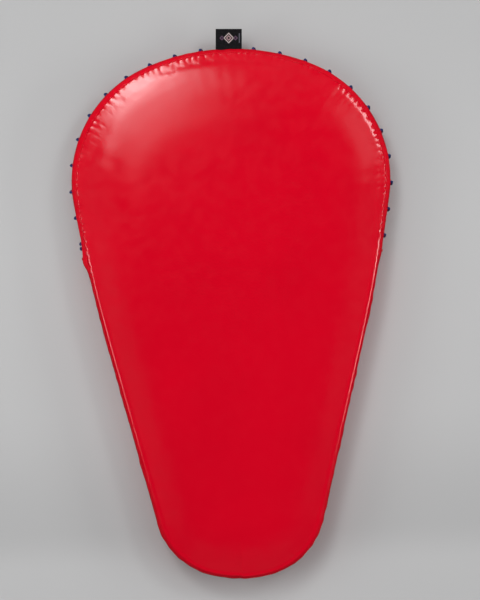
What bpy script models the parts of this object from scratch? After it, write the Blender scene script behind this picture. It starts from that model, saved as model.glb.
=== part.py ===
"""Padded pavise shield with a laced cover, lying on its back.

Frame: +Z out of the face, +Y towards the head, +X to the right of someone facing it.
Origin: the centre of the whole box, on the plane that the back lies on.
Sizes below are in millimetres; MM turns them into Blender's metres.

The cover's pieces follow one outline, a chain of arcs and a straight side on each half.
A place on the shield is given by s, the length along the outline from the middle of the
head (positive to the right), by d, the depth inwards from the outline, and by z, the height.
"""
import math

import bpy
import bmesh
from mathutils import Matrix, Vector

MM = 0.001
GAP = 0.3                       # between pieces that touch

# Outline of the cover, seen from the front
LENGTH = 900.0                  # toe to head, without the label
WIDTH = 542.0
HEAD_ARC = 23.0                 # degrees of the flat arc on each side of the head's middle
SHOULDER_RADIUS = 211.0
HAUNCH_RADIUS = 3000.0          # the slight bow above the straight side
HAUNCH_ARC = 4.9                # degrees
SIDE_SLOPE = 14.2               # degrees between a side and the long axis
TOE_CORNER_RADIUS = 125.5
TOE_ARC = 15.0                  # degrees of the flatter arc on each side of the toe's middle

# Section through the edge
CREST_Z = 26.0                  # height at which the edge stands out furthest
SEAM_Z = 48.0                   # height of the seam between face and edge
SEAM_ANGLE = 60.0               # degrees round the edge from the crest to the seam
HEAD_INSET = 9.0                # depth of the seam inside the outline, round the head
SIDE_INSET = 5.0                # and on the sides and the toe
FOOT_DEPTH = 16.0               # where the rounded edge meets the plane it lies on
ROLL_WIDTH = 36.0
FOOT_CHAMFER = 2.0
RECESS_DEPTH = 28.0
PANEL_THICKNESS = 2.7
RIM_HEIGHT = 4.0                # of the face pad's upright rim below the seam

# Face pad
CROWN_Z = 62.0
SHELF_Z = RECESS_DEPTH + PANEL_THICKNESS + GAP
ROLLOVER_RISE = 6.0             # the quick rise just inside the seam
ROLLOVER_WIDTH = 16.0
DOME_DEPTH = 118.0              # depth inside the outline at which the face turns flat

# Laced mouth of the cover, round the head
LACING_PITCH = 45.0
STATIONS_PER_SIDE = 11          # on each side of the one in the middle
MOUTH_HALF = (STATIONS_PER_SIDE + 0.5) * LACING_PITCH
GROOVE_HALF_WIDTH = 12.2
GROOVE_FLOOR = 7.7              # depth of the groove's floor inside the outline
CREST_BAND = 6.0                # rise of the points that stand for the groove outside the mouth
HEM_INNER = 3.0                 # a hem's edges, measured from the crest's height
HEM_OUTER = 11.9
HEM_THICKNESS = 2.0
HOLE_OFFSET = 8.0               # lacing holes above and below the crest
HOLE_RADIUS = 3.0
HOLE_SIDES = 6
HOLE_OUTSIDE = 2.0              # how far a hole's cutter stands out of the hem
HOLE_INSIDE = 6.2               # and how deep it goes
CORD_RADIUS = 2.0
CORD_SLANT = 1.8                # how far a crossing leans along the edge, each way
KNOT_OFFSET = 8.2               # from the last crossing on the left to the knot outside
KNOT_RADIUS = 3.4
TUCKED_KNOT_OFFSET = 12.0       # from the last crossing on the right to the knot inside
TUCKED_KNOT_RADIUS = 2.6

# Woven label
LABEL_WIDTH = 44.3
LABEL_REACH = 32.5              # beyond the outline
LABEL_SHIFT = 2.4               # to the right of the head's middle
LABEL_TURN = -1.6               # degrees, sewn in a little askew
LABEL_TAIL = 5.5                # tucked in above the hem
LABEL_THICKNESS = 1.0
LABEL_Z = CREST_Z + 12.4

# Webbing straps on the back
WEBBING_WIDTH = 38.0
WEBBING_THICKNESS = 3.0
STRAP_TAB = 40.0                # sewn flat at each end
STRAP_SLOPE = 34.0
STRAP_DROP = 19.5
STRAP_EASE = 0.3                # share of the slope taken by the bend at each of its ends
STRAP_EASE_DROP = 0.12          # and the share of the drop in that bend
STRAPS = {                      # name: (x, middle y, straight middle length)
    "hand_grip": (75.0, 70.0, 92.0),
    "arm_strap": (-85.0, 70.0, 120.0),
}

LABEL_TOP = (LABEL_REACH * math.cos(math.radians(LABEL_TURN))
             - LABEL_WIDTH / 2 * math.sin(math.radians(LABEL_TURN)))
HEAD_Y = (LENGTH - LABEL_TOP) / 2
TOE_Y = HEAD_Y - LENGTH


def clear_scene():
    for item in list(bpy.data.objects):
        bpy.data.objects.remove(item)


def material(name, colour, roughness, metallic=0.0):
    made = bpy.data.materials.new(name)
    made.use_nodes = True
    shader = made.node_tree.nodes["Principled BSDF"]
    shader.inputs["Base Color"].default_value = (*colour, 1.0)
    shader.inputs["Roughness"].default_value = roughness
    shader.inputs["Metallic"].default_value = metallic
    return made


# ---- Outline ----------------------------------------------------------------------------

def arc_step(radius, start, end):
    """Displacement along an arc whose heading turns clockwise from start to end."""
    return Vector((radius * (math.sin(end) - math.sin(start)),
                   radius * (math.cos(end) - math.cos(start))))


def outline_segments():
    """Right half of the outline from head to toe: (start point, heading, end heading, radius,
    length). A heading is the angle turned clockwise from +X. The head's radius makes the
    stated width, and the toe's radius and the straight side make the stated length."""
    head = math.radians(HEAD_ARC)
    side = math.pi / 2 + math.radians(SIDE_SLOPE)
    haunch = side - math.radians(HAUNCH_ARC)
    toe = math.pi - math.radians(TOE_ARC)
    shoulder_half_width = arc_step(SHOULDER_RADIUS, head, math.pi / 2).x
    head_radius = (WIDTH / 2 - shoulder_half_width) / math.sin(head)

    reached = (arc_step(head_radius, 0, head) + arc_step(SHOULDER_RADIUS, head, haunch)
               + arc_step(HAUNCH_RADIUS, haunch, side) + arc_step(TOE_CORNER_RADIUS, side, toe))
    left = Vector((0, -LENGTH)) - reached
    straight = Vector((math.cos(side), -math.sin(side)))
    toe_unit = arc_step(1.0, toe, math.pi)
    determinant = straight.x * toe_unit.y - straight.y * toe_unit.x
    straight_length = (left.x * toe_unit.y - left.y * toe_unit.x) / determinant
    toe_radius = (straight.x * left.y - straight.y * left.x) / determinant

    segments = []
    point = Vector((0, HEAD_Y))
    for radius, start, end in (
        (head_radius, 0, head),
        (SHOULDER_RADIUS, head, haunch),
        (HAUNCH_RADIUS, haunch, side),
        (None, side, side),
        (TOE_CORNER_RADIUS, side, toe),
        (toe_radius, toe, math.pi),
    ):
        length = straight_length if radius is None else radius * (end - start)
        segments.append((point, start, end, radius, length))
        point = point + (straight * length if radius is None else arc_step(radius, start, end))
    return segments


SEGMENTS = outline_segments()
SEGMENT_ENDS = [sum(segment[4] for segment in SEGMENTS[:count + 1])
                for count in range(len(SEGMENTS))]
HALF_LENGTH = SEGMENT_ENDS[-1]


def place(s, d, z):
    """Point at s along the outline, d inwards from it and z high, in metres."""
    along = min(abs(s), HALF_LENGTH)
    for start_point, start, end, radius, length in SEGMENTS:
        if along <= length or start_point is SEGMENTS[-1][0]:
            break
        along -= length
    if radius is None:
        heading = start
        point = start_point + Vector((math.cos(start), -math.sin(start))) * along
    else:
        heading = start + along / radius
        point = start_point + arc_step(radius, start, heading)
    x = point.x - d * math.sin(heading)
    y = point.y - d * math.cos(heading)
    return Vector((math.copysign(1, s) * x, y, z)) * MM


def outline_stops():
    """Values of s at which the sections stand, for the right half, finer where it bends."""
    half_pitch = LACING_PITCH / 2
    stops = [half_pitch * count for count in range(round(MOUTH_HALF / half_pitch) + 1)]
    stops.append(MOUTH_HALF + 2.0)
    for end, steps in zip(SEGMENT_ENDS[2:], (2, 3, 7, 3)):
        start = stops[-1]
        stops += [start + (end - start) * step / steps for step in range(1, steps + 1)]
    return stops


def all_round(stops):
    """The stops of both halves, clockwise from the head, each place once."""
    return stops + [-s for s in reversed(stops[1:-1])]


# ---- Section of the edge ------------------------------------------------------------------

def seam_inset(s):
    """Depth of the seam: deeper round the head, eased to the side's value over the haunch."""
    t = (abs(s) - 330.0) / 260.0
    t = max(0.0, min(1.0, t))
    return HEAD_INSET + (SIDE_INSET - HEAD_INSET) * t * t * (3 - 2 * t)


def edge_depth(rise, inset):
    """Depth of the rounded edge's surface at a height above (or below) its crest."""
    if rise >= 0:
        depth = inset / (1 - math.cos(math.radians(SEAM_ANGLE)))
        height = (SEAM_Z - CREST_Z) / math.sin(math.radians(SEAM_ANGLE))
    else:
        depth, height = FOOT_DEPTH, CREST_Z
    return depth * (1 - math.sqrt(max(0.0, 1 - (rise / height) ** 2)))


def roll_section(s):
    """Closed section of the edge roll. Round the head the crest opens into the groove that
    the lacing lies in; elsewhere the same three points follow the rounded edge."""
    inset = seam_inset(s)
    if abs(s) <= MOUTH_HALF:
        crest = [(GROOVE_FLOOR, GROOVE_HALF_WIDTH), (GROOVE_FLOOR, 0), (GROOVE_FLOOR, -GROOVE_HALF_WIDTH)]
    else:
        crest = [(edge_depth(rise, inset), rise) for rise in (CREST_BAND, 0.0, -CREST_BAND)]
    outer = [(edge_depth(rise, inset), rise) for rise in (18.0, GROOVE_HALF_WIDTH)]
    lower = [(edge_depth(rise, inset), rise) for rise in (-GROOVE_HALF_WIDTH, -19.5, -24.0)]
    section = [(inset, SEAM_Z)]
    section += [(d, CREST_Z + rise) for d, rise in outer + crest + lower]
    section += [(FOOT_DEPTH, 0), (ROLL_WIDTH - FOOT_CHAMFER, 0), (ROLL_WIDTH, FOOT_CHAMFER),
                (ROLL_WIDTH, SHELF_Z - GAP), (inset, SEAM_Z - RIM_HEIGHT - GAP)]
    return section


def hem_section(s, side):
    """Section of a hem strip on the front (side 1) or rear (side -1) edge of the mouth."""
    inset = seam_inset(s)
    rises = [side * rise for rise in (HEM_INNER, HOLE_OFFSET, HEM_OUTER)]
    outer = [(edge_depth(rise, inset), CREST_Z + rise) for rise in rises]
    inner = [(d + HEM_THICKNESS, z) for d, z in outer]
    return outer + inner[::-1]


def face_height(d, inset):
    """Height of the padded face at depth d: a quick roll-over, then a slow rise to the crown."""
    near = min(1.0, (d - inset) / ROLLOVER_WIDTH)
    far = min(1.0, (d - inset) / (DOME_DEPTH - inset))
    slow_rise = CROWN_Z - SEAM_Z - ROLLOVER_RISE
    return SEAM_Z + ROLLOVER_RISE * (1 - (1 - near) ** 2) + slow_rise * (1 - (1 - far) ** 2.2)


# ---- Mesh builders ------------------------------------------------------------------------

def finish(name, mesh_data, paint, smooth_angle=40.0):
    """Close a bmesh into a named object, with its faces turned out and its material on."""
    bmesh.ops.recalc_face_normals(mesh_data, faces=mesh_data.faces)
    mesh = bpy.data.meshes.new(name)
    mesh_data.to_mesh(mesh)
    mesh_data.free()
    mesh.shade_smooth()
    mesh.set_sharp_from_angle(angle=math.radians(smooth_angle))
    mesh.materials.append(paint)
    made = bpy.data.objects.new(name, mesh)
    bpy.context.scene.collection.objects.link(made)
    return made


def skin(rings, closed_rings, caps):
    """Join rings of points, each with the same count, into one surface. closed_rings joins
    the last ring to the first; caps fills the first and last ring with a face."""
    mesh_data = bmesh.new()
    verts = [[mesh_data.verts.new(point) for point in ring] for ring in rings]
    pairs = list(zip(verts, verts[1:]))
    if closed_rings:
        pairs.append((verts[-1], verts[0]))
    for near, far in pairs:
        for index, corner in enumerate(near):
            following = (index + 1) % len(near)
            mesh_data.faces.new((corner, near[following], far[following], far[index]))
    if caps:
        mesh_data.faces.new(verts[0])
        mesh_data.faces.new(verts[-1])
    return mesh_data


def tube(points, radii, sides=6):
    """Rings round a route, each square to it, turned no more than the route bends."""
    rings = []
    across = None
    for index, point in enumerate(points):
        before = points[max(index - 1, 0)]
        after = points[min(index + 1, len(points) - 1)]
        along = (after - before).normalized()
        if across is None:
            across = along.orthogonal()
        across = (across - along * across.dot(along)).normalized()
        other = along.cross(across)
        turns = [2 * math.pi * side / sides for side in range(sides)]
        rings.append([point + (across * math.cos(a) + other * math.sin(a)) * radii[index] for a in turns])
    return skin(rings, closed_rings=False, caps=True)


def cut(target, cutter):
    """Take a hidden cutter out of a piece."""
    cutter.hide_render = True
    cutter.display_type = "WIRE"
    boolean = target.modifiers.new("cut", "BOOLEAN")
    boolean.operation = "DIFFERENCE"
    boolean.solver = "EXACT"
    boolean.object = cutter


def box(name, low, high):
    """A plain box between two corners, in millimetres."""
    low, high = Vector(low) * MM, Vector(high) * MM
    mesh_data = bmesh.new()
    bmesh.ops.create_cube(mesh_data, size=1.0)
    bmesh.ops.scale(mesh_data, vec=high - low, verts=mesh_data.verts)
    bmesh.ops.translate(mesh_data, vec=(high + low) / 2, verts=mesh_data.verts)
    mesh = bpy.data.meshes.new(name)
    mesh_data.to_mesh(mesh)
    mesh_data.free()
    made = bpy.data.objects.new(name, mesh)
    bpy.context.scene.collection.objects.link(made)
    return made


# ---- Pieces -------------------------------------------------------------------------------

def face_pad(stops, paint):
    """Padded front of the cover, inside the seam."""
    def ring(depth_beyond_seam, height):
        return [place(s, seam_inset(s) + depth_beyond_seam, height(s)) for s in all_round(stops)]

    def shelf_ring(d, z):
        return [place(s, d, z) for s in all_round(stops)]

    rings = [shelf_ring(ROLL_WIDTH, SHELF_Z), ring(GAP, lambda s: SEAM_Z - RIM_HEIGHT)]
    for depth in (GAP, 6.0, 14.0, 30.0, 55.0, 82.0, DOME_DEPTH - HEAD_INSET):
        rings.append(ring(depth, lambda s, depth=depth: face_height(seam_inset(s) + depth, seam_inset(s))))
    return finish("face_pad", skin(rings, closed_rings=False, caps=True), paint)


def edge_roll(stops, paint):
    """Padded edge all round, grooved round the head and slotted for the label."""
    rings = [[place(s, d, z) for d, z in roll_section(s)] for s in all_round(stops)]
    made = finish("edge_roll", skin(rings, closed_rings=True, caps=False), paint)
    half_slot = LABEL_WIDTH / 2 + GAP
    slot = box("label_slot",
               (LABEL_SHIFT - half_slot, HEAD_Y - GROOVE_FLOOR + GAP, CREST_Z + HEM_OUTER - 1),
               (LABEL_SHIFT + half_slot, HEAD_Y + 5, LABEL_Z + LABEL_THICKNESS + GAP))
    cut(made, slot)
    return made


def back_panel(stops, paint):
    """Flat rear cloth at the bottom of the recess."""
    rings = [[place(s, ROLL_WIDTH + GAP, z) for s in all_round(stops)]
             for z in (RECESS_DEPTH, RECESS_DEPTH + PANEL_THICKNESS)]
    return finish("back_panel", skin(rings, closed_rings=False, caps=True), paint)


def lacing_stations():
    return [LACING_PITCH * count for count in range(-STATIONS_PER_SIDE, STATIONS_PER_SIDE + 1)]


def hem(name, side, stops, paint):
    """Hem strip along one edge of the mouth, with a lacing hole at each station."""
    last = MOUTH_HALF - GAP
    half = [s for s in stops if s < last] + [last]
    route = [-s for s in reversed(half[1:])] + half
    rings = [[place(s, d, z) for d, z in hem_section(s, side)] for s in route]
    made = finish(name, skin(rings, closed_rings=False, caps=True), paint)

    turns = [2 * math.pi * (corner + 0.5) / HOLE_SIDES for corner in range(HOLE_SIDES)]
    holes = bmesh.new()
    for station in lacing_stations():
        at = station - side * CORD_SLANT
        height = CREST_Z + side * HOLE_OFFSET
        rim = [(at + HOLE_RADIUS * math.cos(turn), height + HOLE_RADIUS * math.sin(turn)) for turn in turns]
        outer = [holes.verts.new(place(s, -HOLE_OUTSIDE, z)) for s, z in rim]
        inner = [holes.verts.new(place(s, HOLE_INSIDE, z)) for s, z in rim]
        for index in range(HOLE_SIDES):
            following = (index + 1) % HOLE_SIDES
            holes.faces.new((outer[index], outer[following], inner[following], inner[index]))
        holes.faces.new(outer)
        holes.faces.new(inner)
    cut(made, finish(name + "_holes", holes, paint))
    return made


def lacing_cord(paint):
    """One cord: out through a front hole, slantwise over the mouth, in through the rear hole,
    then inside the groove to the next front hole. On the left it starts at a knot in the slit,
    and on the right it ends at a knot tucked inside the groove."""
    out_and_over = [            # (along, d, rise) from the inside run to the top of a crossing
        (-6.5, 4.9, 5.6),
        (-3.0, 5.0, 7.8),
        (-CORD_SLANT, 1.6, HOLE_OFFSET),
        (-CORD_SLANT * 0.8, -1.9, 6.2),
        (-CORD_SLANT * 0.3, -2.5, 2.6),
    ]
    crossing = out_and_over + [(-along, d, -rise) for along, d, rise in reversed(out_and_over)]
    knot = [(-KNOT_OFFSET, -5.4, 0), (-KNOT_OFFSET, -4.4, 0), (-KNOT_OFFSET, -2.6, 0),
            (-KNOT_OFFSET, -1.2, 0), (-KNOT_OFFSET, 1.2, 0), (-KNOT_OFFSET + 0.6, 4.2, 1.2)]
    knot_radii = [1.6, 2.9, KNOT_RADIUS, 2.4, CORD_RADIUS, CORD_RADIUS]
    tucked_knot = [(TUCKED_KNOT_OFFSET - 3.0, 5.0, -2.4), (TUCKED_KNOT_OFFSET - 1.5, 4.9, -0.6),
                   (TUCKED_KNOT_OFFSET, 4.9, 0), (TUCKED_KNOT_OFFSET + 1.5, 4.9, 0)]
    tucked_radii = [CORD_RADIUS, 2.4, TUCKED_KNOT_RADIUS, 1.7]

    stations = lacing_stations()
    route = [(stations[0] + along, d, rise) for along, d, rise in knot]
    for station in stations:
        route += [(station + along, d, rise) for along, d, rise in crossing]
    route += [(stations[-1] + along, d, rise) for along, d, rise in tucked_knot]
    radii = knot_radii + [CORD_RADIUS] * (len(crossing) * len(stations)) + tucked_radii
    points = [place(s, d, CREST_Z + rise) for s, d, rise in route]
    return finish("lacing_cord", tube(points, [radius * MM for radius in radii]), paint, smooth_angle=80.0)


def label_tag(paint):
    """Folded woven label standing out beside the middle of the head, turned a little."""
    made = box("label_tag", (-LABEL_WIDTH / 2, -LABEL_TAIL, LABEL_Z),
               (LABEL_WIDTH / 2, LABEL_REACH, LABEL_Z + LABEL_THICKNESS))
    turn = Matrix.Rotation(math.radians(LABEL_TURN), 4, "Z")
    made.data.transform(Matrix.Translation(Vector((LABEL_SHIFT, HEAD_Y, 0)) * MM) @ turn)
    made.data.materials.append(paint)
    fold = made.modifiers.new("fold", "BEVEL")
    fold.width = LABEL_THICKNESS * 0.3 * MM
    fold.segments = 2
    return made


def strap(name, x, y, straight, paint):
    """Webbing strap along Y, bowed away from the back panel between two sewn tabs."""
    top = RECESS_DEPTH - GAP
    half = straight / 2
    ease = STRAP_SLOPE * STRAP_EASE
    line = [                    # (distance from the middle, drop below the panel)
        (half + STRAP_SLOPE + STRAP_TAB, 0.0),
        (half + STRAP_SLOPE, 0.0),
        (half + STRAP_SLOPE - ease, STRAP_DROP * STRAP_EASE_DROP),
        (half + ease, STRAP_DROP * (1 - STRAP_EASE_DROP)),
        (half, STRAP_DROP),
    ]
    upper = [(y + distance, top - drop) for distance, drop in line]
    upper += [(y - distance, top - drop) for distance, drop in reversed(line)]
    lower = [(along, z - WEBBING_THICKNESS) for along, z in upper]
    rings = [[Vector((x + side * WEBBING_WIDTH / 2, along, z)) * MM for along, z in upper + lower[::-1]]
             for side in (-1, 1)]
    return finish(name, skin(rings, closed_rings=False, caps=True), paint)


def main():
    clear_scene()
    stops = outline_stops()
    red = material("red_coated_cloth", (0.62, 0.004, 0.020), 0.32)
    edge_red = material("red_edge_cloth", (0.50, 0.005, 0.018), 0.36)
    hem_red = material("dark_red_hem", (0.34, 0.004, 0.014), 0.5)
    back_red = material("dull_red_lining", (0.42, 0.006, 0.018), 0.6)
    blue = material("blue_cord", (0.012, 0.055, 0.36), 0.55)
    black_satin = material("black_satin", (0.012, 0.012, 0.014), 0.42)
    webbing = material("black_webbing", (0.018, 0.018, 0.020), 0.75)

    face_pad(stops, red)
    edge_roll(stops, edge_red)
    back_panel(stops, back_red)
    hem("front_hem", 1, stops, hem_red)
    hem("rear_hem", -1, stops, hem_red)
    lacing_cord(blue)
    label_tag(black_satin)
    for name, (x, y, straight) in STRAPS.items():
        strap(name, x, y, straight, webbing)


main()
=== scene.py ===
"""A padded pavise shield in a glossy red laced cover, lying on its back in a small studio."""
import math

import bpy
import bmesh
import numpy as np
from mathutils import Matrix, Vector


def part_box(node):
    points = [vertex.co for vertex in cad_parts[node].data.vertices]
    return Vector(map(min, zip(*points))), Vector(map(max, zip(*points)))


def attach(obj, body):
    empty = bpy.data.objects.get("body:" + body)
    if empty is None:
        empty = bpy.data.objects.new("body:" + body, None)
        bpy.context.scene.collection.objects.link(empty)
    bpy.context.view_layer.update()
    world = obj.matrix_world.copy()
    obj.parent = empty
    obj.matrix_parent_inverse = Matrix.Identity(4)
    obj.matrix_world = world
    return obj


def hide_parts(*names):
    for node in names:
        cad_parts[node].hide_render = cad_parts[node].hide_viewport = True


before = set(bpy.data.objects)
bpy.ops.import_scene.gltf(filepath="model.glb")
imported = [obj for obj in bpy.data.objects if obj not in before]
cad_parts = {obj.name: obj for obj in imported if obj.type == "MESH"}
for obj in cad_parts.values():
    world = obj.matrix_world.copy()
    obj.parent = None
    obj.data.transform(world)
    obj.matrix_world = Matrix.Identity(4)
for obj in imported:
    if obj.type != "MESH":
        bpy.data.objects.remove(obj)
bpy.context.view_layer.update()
MM = 0.001


# ---- Studio -------------------------------------------------------------------------------
# The shield lies face up on a pale floor. A wide soft box stands beyond its left shoulder and
# a narrower one beyond its right, with long strips on three sides and four even fills.

CAMERA_HEIGHT = 3.0             # above the widest line of the shield
VIEW_LENGTH = 1.0208            # of floor, from the top of the picture to the bottom
VIEW_CENTRE = (0.0096, 0.0063)  # on the floor, in metres
VIEW_TURN = math.radians(-1.6)  # the shield's head leans a little to the left
CREST_Z = 26.0 * MM             # height of that widest line

camera_data = bpy.data.cameras.new("camera")
camera_data.sensor_width = 36.0
camera_data.lens = camera_data.sensor_width * CAMERA_HEIGHT / VIEW_LENGTH
camera = bpy.data.objects.new("camera", camera_data)
camera.location = (*VIEW_CENTRE, CREST_Z + CAMERA_HEIGHT)
camera.rotation_euler = (0, 0, VIEW_TURN)
bpy.context.scene.collection.objects.link(camera)
bpy.context.scene.camera = camera
bpy.context.scene.view_settings.view_transform = "Standard"

world = bpy.data.worlds.new("studio")
world.use_nodes = True
world.node_tree.nodes["Background"].inputs["Color"].default_value = (0.9, 0.95, 1.0, 1.0)
world.node_tree.nodes["Background"].inputs["Strength"].default_value = 0.02
bpy.context.scene.world = world


def soft_box(name, azimuth, zenith, size, radiance, distance=3.0, mirrored=True):
    """An area light that faces the shield, as wide and as deep as size. azimuth is turned
    anticlockwise from +X and zenith is the angle from straight up, both in degrees. Its power
    is pi times its area times its radiance. An unmirrored one only lights, as if it were
    polarised, and leaves no highlight."""
    light = bpy.data.lights.new(name, "AREA")
    light.shape = "RECTANGLE"
    light.size, light.size_y = size
    light.energy = math.pi * size[0] * size[1] * radiance
    held = bpy.data.objects.new(name, light)
    turn, lean = math.radians(azimuth), math.radians(zenith)
    aside = math.sin(lean)
    direction = Vector((aside * math.cos(turn), aside * math.sin(turn), math.cos(lean)))
    held.location = direction * distance
    held.rotation_euler = direction.to_track_quat("Z", "Y").to_euler()
    held.visible_glossy = mirrored
    bpy.context.scene.collection.objects.link(held)


# The key is one deep soft box made of six overlapping panels, brightest at its far edge and
# fading towards the middle of the shield. The rim light is built the same way, of two.
soft_box("key_near", 118, 18.2, (0.55, 0.50), 1.5)
soft_box("key_wide", 119, 32.2, (1.25, 1.18), 1.3)
soft_box("key_b", 123, 34.5, (1.05, 1.22), 1.3)
soft_box("key_c", 118, 37.3, (0.88, 0.93), 2.2)
soft_box("key_d", 118, 40.0, (0.72, 0.63), 3.8)
soft_box("key_e", 118, 42.0, (0.60, 0.42), 4.2)
soft_box("rim_a", 35, 36.5, (0.90, 1.30), 0.62)
soft_box("rim_b", 36, 48.0, (1.00, 0.55), 9.0, distance=3.2)
soft_box("left_strip", 184, 65.0, (1.6, 0.80), 6.0)
soft_box("right_strip", -4, 69.0, (1.6, 0.55), 9.5)
soft_box("head_strip", 90, 78.0, (2.2, 0.40), 3.2)
for side, azimuth, zenith, radiance in (("left", 180, 40, 1.35), ("right", 0, 40, 0.8),
                                        ("head", 90, 46, 1.3), ("toe", 270, 46, 0.95)):
    soft_box(side + "_fill", azimuth, zenith, (2.2, 2.2), radiance, distance=3.2, mirrored=False)


class Signal:
    """One socket of a material. Arithmetic on signals adds Math nodes, and make() adds any
    other node: its type, its settings, then its sockets by name or number."""

    def __init__(self, tree, socket):
        self.tree, self.socket = tree, socket

    def make(self, kind, settings=None, sockets=None, output=0):
        node = self.tree.nodes.new("ShaderNode" + kind)
        for name, value in (settings or {}).items():
            setattr(node, name, value)
        for name, value in (sockets or {}).items():
            if isinstance(value, Signal):
                self.tree.links.new(value.socket, node.inputs[name])
            else:
                node.inputs[name].default_value = value
        return Signal(self.tree, node.outputs[output])

    def math(self, operation, *others):
        return self.make("Math", {"operation": operation}, dict(enumerate((self, *others))))

    def flipped(self, operation, other):
        return self.make("Math", {"operation": operation}, {0: other, 1: self})

    def __add__(self, other):
        return self.math("ADD", other)

    def __sub__(self, other):
        return self.math("SUBTRACT", other)

    def __mul__(self, other):
        return self.math("MULTIPLY", other)

    def __rsub__(self, other):
        return self.flipped("SUBTRACT", other)

    __radd__ = __add__
    __rmul__ = __mul__

    def rise(self, low, high, to_low=0.0, to_high=1.0):
        """Smooth step from to_low at low to to_high at high."""
        return self.make("MapRange", {"interpolation_type": "SMOOTHSTEP"},
                         {0: self, 1: low, 2: high, 3: to_low, 4: to_high})

    def wave(self, length):
        """Sine of this distance, one turn for each length."""
        return (self * (2 * math.pi / length)).math("SINE")

    def part(self, axis):
        """One coordinate of a vector signal."""
        return self.make("SeparateXYZ", None, {0: self}, "XYZ".index(axis))

    def noise(self, scale, detail=3.0):
        return self.make("TexNoise", None, {"Vector": self, "Scale": scale, "Detail": detail})

    def tint(self, dark, light):
        """A colour from dark to light as this signal goes from 0 to 1."""
        return self.make("Mix", {"data_type": "RGBA"}, {0: self, 6: (*dark, 1), 7: (*light, 1)}, 2)

    def over(self, below, above):
        """The colour signal below where this is 0, and above where it is 1."""
        above = above if isinstance(above, Signal) else (*above, 1)
        return self.make("Mix", {"data_type": "RGBA"}, {0: self, 6: below, 7: above}, 2)

    def bump(self, depth, under=None):
        """A normal raised by this signal, in metres of depth, on top of another normal."""
        sockets = {"Height": self, "Distance": depth}
        if under is not None:
            sockets["Normal"] = under
        return self.make("Bump", None, sockets)

    def feed(self, shader, name):
        self.tree.links.new(self.socket, shader.inputs[name])


def finish_of(name, roughness, **fixed):
    """A new material: it, its shader, its object coordinates and its UV map, in metres."""
    made = bpy.data.materials.new(name)
    made.use_nodes = True
    tree = made.node_tree
    shader = tree.nodes["Principled BSDF"]
    shader.inputs["Roughness"].default_value = roughness
    for socket, value in fixed.items():
        shader.inputs[socket.replace("_", " ")].default_value = value
    where = tree.nodes.new("ShaderNodeTexCoord")
    return made, shader, Signal(tree, where.outputs["Object"]), Signal(tree, where.outputs["UV"])


# The floor's colour holds painted light and shade from end to end: painted light at the near end, and
# painted shade in a band beside the toe and towards the far end, over a tone that differs a little at
# random. Distances are in metres from the middle.
def floor_grey(tone):
    """A grey of that tone, very slightly cool."""
    return tone, tone, tone + 0.002


FLOOR_HALF = 8.0
FLOOR_Z = -0.3 * MM             # just under the foot, so that the two never share a plane
floor_finish, shader, place, _ = finish_of("pale_studio_floor", 0.85, Specular_IOR_Level=0.1)
to_head = place.part("Y")
to_toe = 0 - to_head
even_tone = place.noise(1.3).rise(0.3, 0.7).tint(floor_grey(0.50), floor_grey(0.51))
# Painted light: a lighter near end.
painted_light_near_end = to_toe.rise(0.40, 0.47).over(even_tone, floor_grey(0.515))
# Painted shade: a darker band beside the toe.
painted_shade_band = to_toe.rise(0.16, 0.37) * to_toe.rise(0.38, 0.45, 1, 0)
dull = painted_shade_band.over(painted_light_near_end, floor_grey(0.455))
# Painted shade: darker towards the far end.
to_head.rise(0.05, 0.55).over(dull, floor_grey(0.452)).feed(shader, "Base Color")
floor_corners = [(x * FLOOR_HALF, y * FLOOR_HALF, FLOOR_Z) for x, y in
                 ((-1, -1), (1, -1), (1, 1), (-1, 1))]
floor_mesh = bpy.data.meshes.new("studio_floor")
floor_mesh.from_pydata(floor_corners, [], [(0, 1, 2, 3)])
floor_mesh.materials.append(floor_finish)
studio_floor = bpy.data.objects.new("studio_floor", floor_mesh)
studio_floor.visible_glossy = False
bpy.context.scene.collection.objects.link(studio_floor)


# ---- Padded edge --------------------------------------------------------------------------
# A band of coated cloth over foam, about 50 mm deep, sewn to the front along a gathered seam.
# Round the head its crest opens into a slit with a channel behind it, which the lacing closes.

WIDTH = 542.0 * MM
LENGTH = 900.0 * MM
TOE_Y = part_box("edge_roll")[0][1]
HEAD_Y = TOE_Y + LENGTH
HEAD_ARC, HAUNCH_ARC, SIDE_SLOPE, TOE_ARC = np.radians([23.0, 4.9, 14.2, 15.0])
SHOULDER_RADIUS, HAUNCH_RADIUS, TOE_CORNER_RADIUS = 211.0 * MM, 3000.0 * MM, 125.5 * MM


def arc_step(radius, start, end):
    """Move along an arc of that radius while the heading turns clockwise from start to end:
    the radius times the change of (sine, cosine)."""
    return radius * np.array([np.sin(end) - np.sin(start), np.cos(end) - np.cos(start)])


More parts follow.
